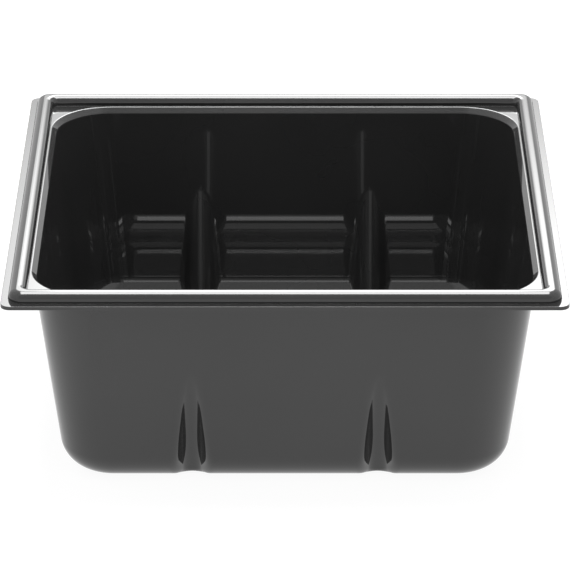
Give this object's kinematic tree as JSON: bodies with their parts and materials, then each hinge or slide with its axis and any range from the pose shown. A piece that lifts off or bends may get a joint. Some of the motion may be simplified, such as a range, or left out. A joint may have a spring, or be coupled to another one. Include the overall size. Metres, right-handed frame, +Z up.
{
  "type": "espresso knock box tub",
  "caption": "Square one-piece plastic tub with flat flange, raised hollow rim bead, lid ledge, drafted basin and pillars in two walls, for spent coffee pucks.",
  "frame": {"origin": "centre of the underside of the floor, the plane the tub stands on", "axes": "+Z up out of the open top; -Y is the front, the wall with grooves that the pictured view shows; X runs along the front"},
  "size_m": [0.2, 0.2, 0.0827],
  "materials": {
    "black_plastic": "high gloss moulded black plastic"
  },
  "bodies": {
    "root": {"tub": "black_plastic"}
  },
  "joints": []
}
